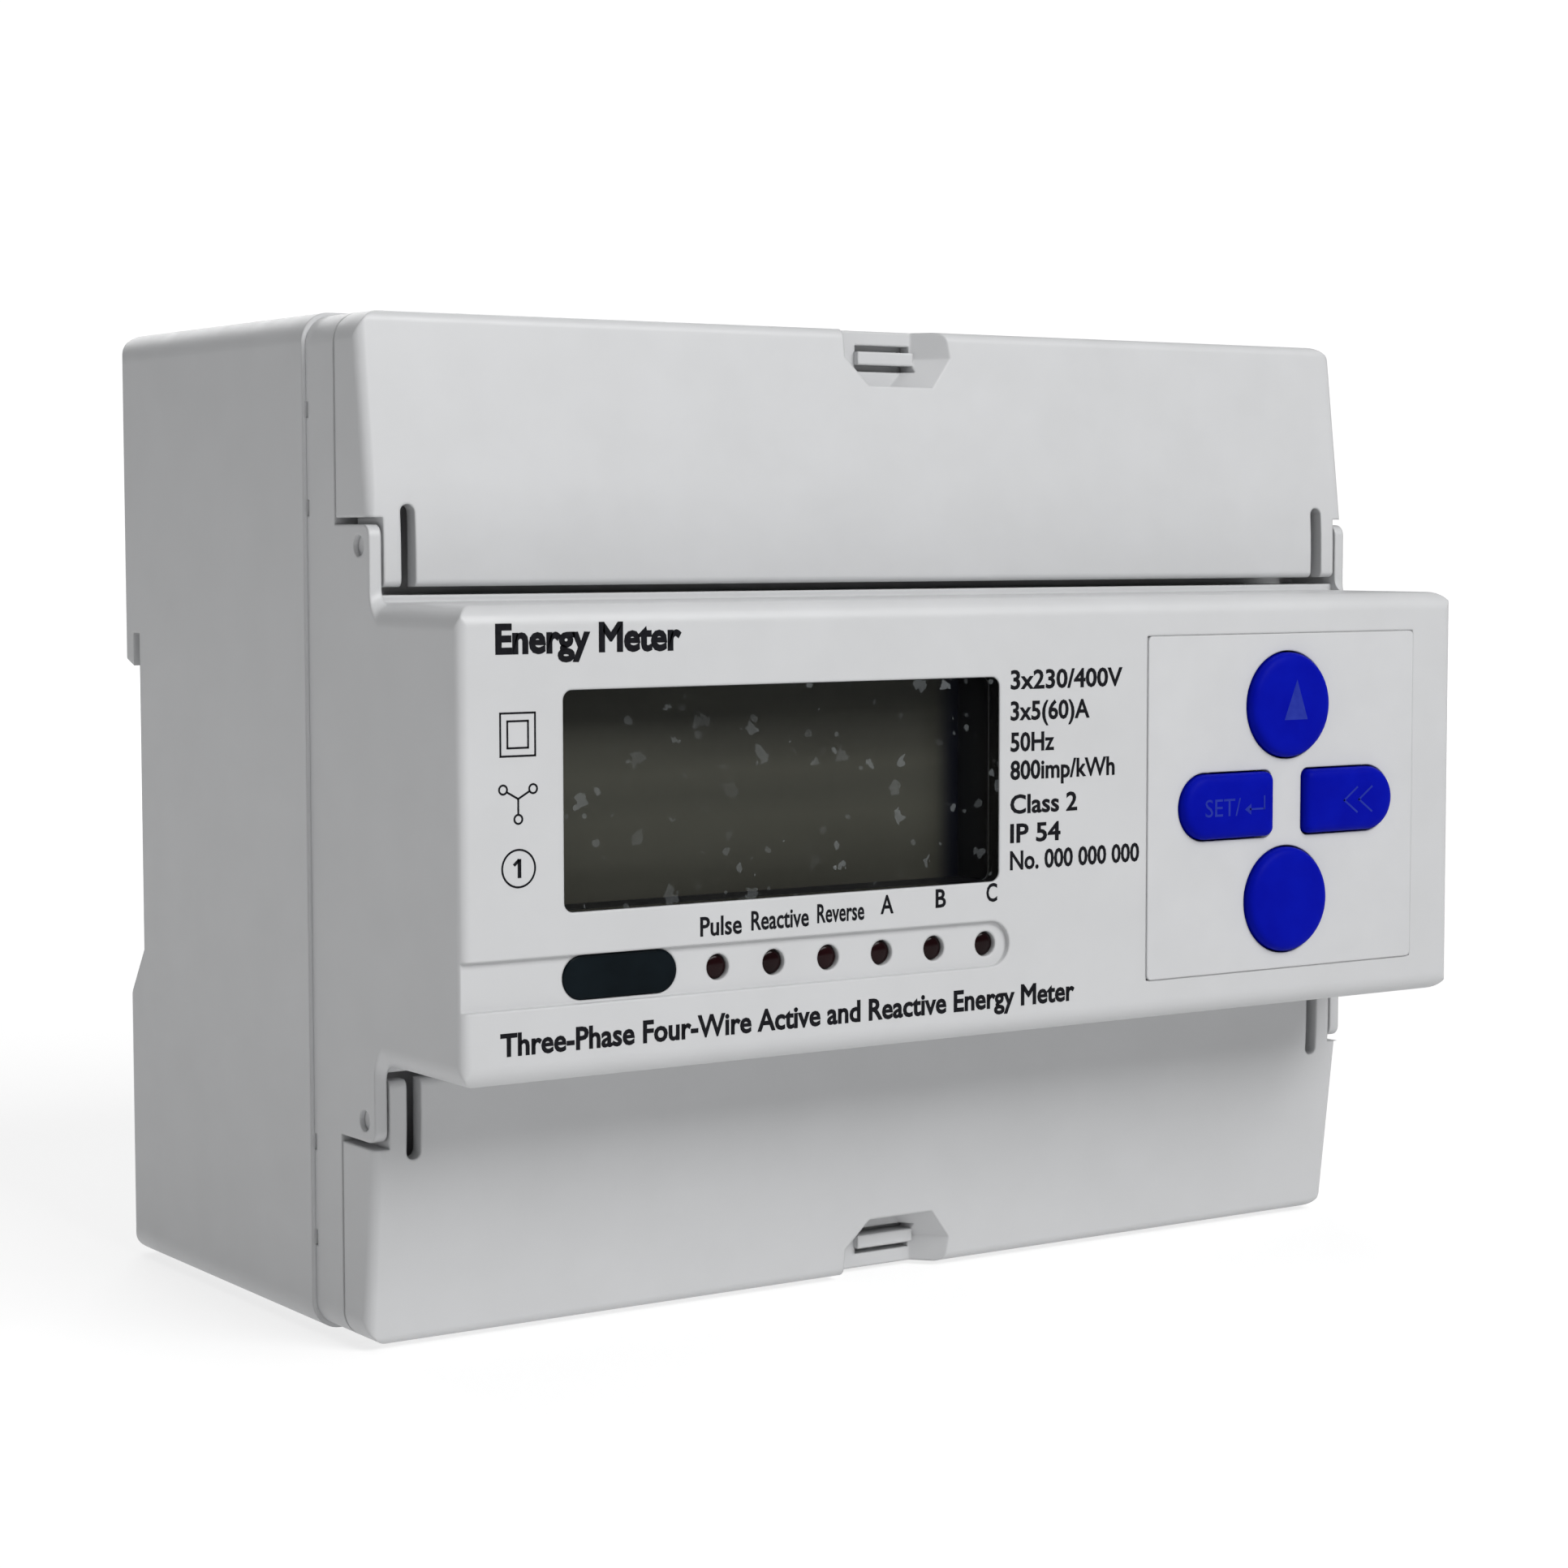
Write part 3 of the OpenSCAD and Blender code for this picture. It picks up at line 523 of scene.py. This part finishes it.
LABEL_CAP, LABEL_WEIGHT = 1.9, 0.020
LABELS = (                     # text, middle, height of its foot, width
    ("Pulse", -34.8, -9.7, 4.8), ("Reactive", -27.9, -9.5, 6.8), ("Reverse", -20.65, -9.3, 5.7),
    ("A", -15.0, -8.9, 1.6), ("B", -8.3, -8.7, 1.3), ("C", -1.8, -8.5, 1.4))
for text, x, z, width in LABELS:
    lettering(f"lamp_print_{text}", text, x, z, LABEL_CAP, width, LABEL_WEIGHT, align="CENTER")

lettering("type_print", "Three-Phase Four-Wire Active and Reactive Energy Meter", -59.3, -19.5,
          2.15, 68.4, weight=0.030)


LINE = 0.19                    # width of a drawn line
SYMBOL_X = -57.2
SQUARE_Z, HUB_Z, CIRCLE_Z = 10.5, 4.5, -2.0


def symbols():
    """Double square, star connection and a circled figure one, above each other."""
    bm = bmesh.new()
    front = FACE_Y / MM - INK
    corners = ((-1, -1), (1, -1), (1, 1), (-1, 1))
    for half_w, half_h in ((1.85, 2.0), (1.1, 1.25)):
        for a, b in zip(corners, corners[1:] + corners[:1]):
            bar(bm, (SYMBOL_X + a[0] * half_w, SQUARE_Z + a[1] * half_h),
                (SYMBOL_X + b[0] * half_w, SQUARE_Z + b[1] * half_h), LINE, front)
    hub = Vector((SYMBOL_X, HUB_Z))
    tip_ring, arm_gap = 0.42, 0.5
    for arm in (Vector((-1.6, 0.9)), Vector((1.6, 0.9)), Vector((0, -1.9))):
        ring(bm, hub + arm, tip_ring, LINE, front)
        bar(bm, hub, hub + arm * (1 - arm_gap / arm.length), LINE, front)
    ring(bm, (SYMBOL_X, CIRCLE_Z), 1.75, LINE, front, 64)
    bar(bm, (SYMBOL_X + 0.08, CIRCLE_Z - 0.7), (SYMBOL_X + 0.08, CIRCLE_Z + 0.7), 0.38, front)
    bar(bm, (SYMBOL_X - 0.05, CIRCLE_Z + 0.72), (SYMBOL_X - 0.4, CIRCLE_Z + 0.4), 0.30, front)
    piece("mark_print", mesh_of(bm, "mark_print"), "housing", "meter", "ink")


symbols()


# ---- keys ----

CAP_BACK, CAP_CHAMFER = 3.3, 0.25      # back of a cap behind the face, chamfer of its rear edge
LUG_H, LUG_T = 1.5, 1.0                # half height and thickness of the lugs that hold a key
STEM_R, STEM_TIP_R, STEM_TAPER = 1.6, 1.3, 0.3
# soft front edge of a cap: distance in from its outline, and drop behind its front
KEY_EDGE = [(0.0, 0.95), (0.03, 0.72), (0.12, 0.50), (0.26, 0.32), (0.44, 0.19), (0.68, 0.10),
            (1.0, 0.045), (1.5, 0.01), (2.2, 0.0)]


def round_outline(radius, inset):
    r, steps = radius - inset, 72
    return [(r * math.cos(TAU * i / steps), r * math.sin(TAU * i / steps)) for i in range(steps)]


def stadium_outline(radius, inset):
    """Round at the left, nearly square at the right."""
    round_x, right_x, right_r = -2.95, 6.45, 1.0
    points = []
    r = radius - inset
    for i in range(33):
        a = math.pi / 2 + math.pi * i / 32
        points.append((round_x + r * math.cos(a), r * math.sin(a)))
    corner = max(right_r - inset, 0.05)
    cx, cz = right_x - inset - corner, radius - inset - corner
    for start, sz in ((-math.pi / 2, -1), (0.0, 1)):
        for i in range(9):
            a = start + math.pi / 2 * i / 8
            points.append((cx + corner * math.cos(a), sz * cz + corner * math.sin(a)))
    return points


# outline of each key, and 1 or -1 for the side on which its square end lies
KEYS = {"key_up": (round_outline, 1), "key_down": (round_outline, 1),
        "key_set": (stadium_outline, 1), "key_back": (stadium_outline, -1)}


def key_centre(name):
    """Middle of a key in millimetres, with its height counted from the body's middle."""
    low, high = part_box(name)
    return (low.x + high.x) / 2 / MM, ((low.z + high.z) / 2 - MID_Z) / MM


def key_cap(name):
    """Cap with a soft front edge, its two lugs as one bar, and the stem behind it."""
    outline, side = KEYS[name]
    x, z = key_centre(name)
    low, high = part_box(name)
    radius = (high.z - low.z) / 2 / MM
    front, back, tip = KEY_FRONT / MM, FACE_Y / MM + CAP_BACK, high.y / MM

    def cap_ring(inset, y):
        return [spot(x + side * px, y, z + pz) for px, pz in outline(radius, inset)]

    bm = bmesh.new()
    rings = [cap_ring(CAP_CHAMFER, back), cap_ring(0.0, back - CAP_CHAMFER)]
    rings += [cap_ring(inset, front + drop) for inset, drop in KEY_EDGE]
    loft(bm, rings)
    block(bm, (low.x / MM, back - LUG_T, z - LUG_H), (high.x / MM, back, z + LUG_H))
    stem = ((STEM_R, back - 0.1), (STEM_R, tip - STEM_TAPER), (STEM_TIP_R, tip))
    loft(bm, [circle(x, z, r, y) for r, y in stem])
    mesh = mesh_of(bm, name + "_cap")
    smooth(mesh, 40)
    obj = piece(name + "_cap", mesh, "key_blue", name)
    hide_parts(name)


for key_name in KEYS:
    key_cap(key_name)


def key_legends():
    front = KEY_FRONT / MM - INK / 2
    bm = bmesh.new()
    x, z = key_centre("key_up")
    raised(bm, [(x - 1.3, z - 1.6), (x + 2.05, z - 1.6), (x + 0.5, z + 2.75)], front)
    piece("up_print", mesh_of(bm, "up_print"), "key_blue", "key_up", "legend")
    bm = bmesh.new()
    x, z = key_centre("key_back")
    arm, stroke = 1.9, 0.22
    for dx in (-1.1, 1.1):
        bar(bm, (x + dx + arm, z + 1.3), (x + dx, z - 0.05), stroke, front)
        bar(bm, (x + dx, z - 0.05), (x + dx + arm, z - 1.4), stroke, front)
    piece("back_print", mesh_of(bm, "back_print"), "key_blue", "key_back", "legend")
    x, z = key_centre("key_set")
    lettering("set_print", "SET/", x - 3.7, z - 1.0, 1.95, 5.0, front=front, body="key_set",
              slot="key_blue", material="legend")
    bm = bmesh.new()
    bar(bm, (x + 4.7, z + 0.9), (x + 4.7, z - 0.4), 0.2, front)
    bar(bm, (x + 4.6, z - 0.4), (x + 2.7, z - 0.4), 0.2, front)
    raised(bm, [(x + 1.9, z - 0.4), (x + 2.8, z - 1.0), (x + 2.8, z + 0.2)], front)
    piece("enter_print", mesh_of(bm, "enter_print"), "key_blue", "key_set", "legend")


key_legends()


# ---- indicator lamps ----

LAMPS, LAMP_X, LAMP_PITCH, LAMP_Z = 6, -34.9, 6.52, -12.9
LAMP_DEPTH = 0.7               # top of a dome, behind the face
LAMP_R, LAMP_DOME, LAMP_LENGTH = 1.22, 0.35, 4.6
FLANGE_R, FLANGE_T = 1.45, 0.9
LEG_X, LEG = 0.7, 0.25         # place of a leg beside the middle, and its half width


def lamps():
    """Six lamps as closed lenses with a low dome, a flange and two legs to the board."""
    bm = bmesh.new()
    top = FACE_Y / MM + LAMP_DEPTH
    flange = top + LAMP_LENGTH
    foot = flange + FLANGE_T
    profile = [(0.02, top)]
    profile += [(LAMP_R * math.sin(a), top + LAMP_DOME * (1 - math.cos(a)))
                for a in [math.pi / 2 * i / 10 for i in range(1, 11)]]
    profile += [(LAMP_R, flange), (FLANGE_R, flange + 0.05), (FLANGE_R, foot - 0.1),
                (FLANGE_R - 0.15, foot)]
    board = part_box("display_board")[0].y / MM
    for i in range(LAMPS):
        x = LAMP_X + LAMP_PITCH * i
        loft(bm, [circle(x, LAMP_Z, r, y) for r, y in profile])
        for leg in (-LEG_X, LEG_X):
            block(bm, (x + leg - LEG, foot - 0.2, LAMP_Z - LEG),
                  (x + leg + LEG, board, LAMP_Z + LEG))
    mesh = mesh_of(bm, "lamp_lenses")
    smooth(mesh)
    obj = piece("lamp_lenses", mesh, "lamp_red", "meter")
    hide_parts("indicator_leds")


lamps()


# ---- clip springs ----

FOLDS, STRIP, REACH = 5, 0.5, 2.4


def spring(side):
    """Folded strip spring below a rail clip, as long as the box of its CAD node."""
    node = f"clip_spring_{side}"
    low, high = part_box(node)
    centre = (low.x + high.x) / 2
    half = STRIP * MM / 2
    rise = (high.z - low.z - STRIP * MM) / FOLDS
    radius = rise / 2
    path = []
    for i in range(FOLDS + 1):
        z = low.z + half + i * rise
        s = 1 if i % 2 == 0 else -1
        path += [(-s * REACH * MM, z), (s * REACH * MM, z)]
        if i < FOLDS:
            for k in range(1, 12):
                a = -math.pi / 2 + math.pi * k / 12
                path.append((s * (REACH * MM + radius * math.cos(a)),
                             z + radius + radius * math.sin(a)))
    rings = []
    for i, p in enumerate(path):
        a, b = Vector(path[max(i - 1, 0)]), Vector(path[min(i + 1, len(path) - 1)])
        t = (b - a).normalized()
        n = Vector((-t.y, t.x)) * half
        rings.append([(centre + p[0] + n.x * side_n, y, p[1] + n.y * side_n)
                      for side_n, y in ((-1, low.y), (1, low.y), (1, high.y), (-1, high.y))])
    bm = bmesh.new()
    loft(bm, rings)
    mesh = mesh_of(bm, node + "_wire")
    smooth(mesh, 50)
    obj = piece(node + "_wire", mesh, "steel", "meter")
    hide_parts(node)
    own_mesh(obj)


spring("left")
spring("right")


# ---- stage and light ----

FLOOR_SIZE, FLOOR_DROP = 6, 0.0002
GLOW_NEAR, GLOW_FAR = 0.70, 1.05           # glow of the floor by its distance from the middle
GIVEN_LEFT, GIVEN_RIGHT = 0.86, 0.36       # share of that glow which lights the object
SOFT_STRENGTH, WHITE_STRENGTH = 0.14, 1.05
LIGHT_TARGET = Vector((0, 0, 0.05))
LIGHTS = (                     # name, place, size, power in watts
    ("key_light", (0.30, -1.05, 0.90), (0.9, 0.7), 15.8),
    ("top_light", (-0.1, 0.1, 1.3), (1.4, 1.2), 4.4),
    ("left_light", (-1.1, -0.8, 0.4), (0.8, 0.6), 0.9),
    ("back_light", (0.3, 1.2, 0.8), (1.0, 0.8), 6.0))


def stage():
    """Pale floor that glows, so that it looks white and lights the object from below."""
    mesh = bpy.data.meshes.new("floor")
    bm = bmesh.new()
    bmesh.ops.create_grid(bm, x_segments=8, y_segments=8, size=FLOOR_SIZE)
    bm.to_mesh(mesh)
    bm.free()
    floor = bpy.data.objects.new("floor", mesh)
    floor.location.z = -FLOOR_DROP
    bpy.context.scene.collection.objects.link(floor)
    n = new_material("floor")
    shader = n.add("BsdfPrincipled")
    shader.inputs["Roughness"].default_value = 0.9
    shader.inputs["Emission Color"].default_value = (1, 1, 1, 1)
    n.link(n.ramp(n.noise(3), [(0.3, 0.34), (0.7, 0.37)]), shader.inputs["Base Color"])
    reach = n.add("VectorMath", operation="LENGTH")
    n.link(n.coords.outputs["Object"], reach.inputs[0])
    glow = n.spread(reach.outputs["Value"], 0.3, 1.4, GLOW_NEAR, GLOW_FAR)
    # the floor looks white but lights the object a little less, and least on the right
    split = n.add("SeparateXYZ")
    n.link(n.coords.outputs["Object"], split.inputs[0])
    given = n.spread(split.outputs["X"], -0.25, 0.25, GIVEN_LEFT, GIVEN_RIGHT)
    share = n.maths("MAXIMUM", n.add("LightPath").outputs["Is Camera Ray"], given)
    n.link(n.maths("MULTIPLY", glow, share), shader.inputs["Emission Strength"])
    mesh.materials.append(n.finish(shader.outputs[0]))


def area_light(name, place, size, power):
    """Rectangular area light that looks at the middle of the meter."""
    data = bpy.data.lights.new(name, "AREA")
    data.shape = "RECTANGLE"
    data.size, data.size_y = size
    data.energy = power
    obj = bpy.data.objects.new(name, data)
    obj.location = place
    obj.rotation_euler = (LIGHT_TARGET - Vector(place)).to_track_quat("-Z", "Y").to_euler()
    bpy.context.scene.collection.objects.link(obj)


def world():
    """Weak soft light from around, seen as plain white by the camera."""
    studio = bpy.data.worlds.new("studio")
    bpy.context.scene.world = studio
    n = Nodes(studio, "OutputWorld")
    split = n.add("SeparateXYZ")
    n.link(n.coords.outputs["Generated"], split.inputs[0])
    height = n.spread(split.outputs["Z"], -1, 1, 0, 1)
    soft, white = n.add("Background"), n.add("Background")
    n.link(n.ramp(height, [(0.45, (0.55, 0.56, 0.57)), (0.95, (0.80, 0.81, 0.82))]),
           soft.inputs["Color"])
    soft.inputs["Strength"].default_value = SOFT_STRENGTH
    white.inputs["Color"].default_value = (1, 1, 1, 1)
    white.inputs["Strength"].default_value = WHITE_STRENGTH
    seen = n.add("LightPath").outputs["Is Camera Ray"]
    n.finish(n.blend(seen, soft.outputs[0], white.outputs[0]))


stage()
world()
for light in LIGHTS:
    area_light(*light)

view = bpy.context.scene.view_settings
view.view_transform = "Standard"
view.look = "None"
view.exposure = 0
view.gamma = 1
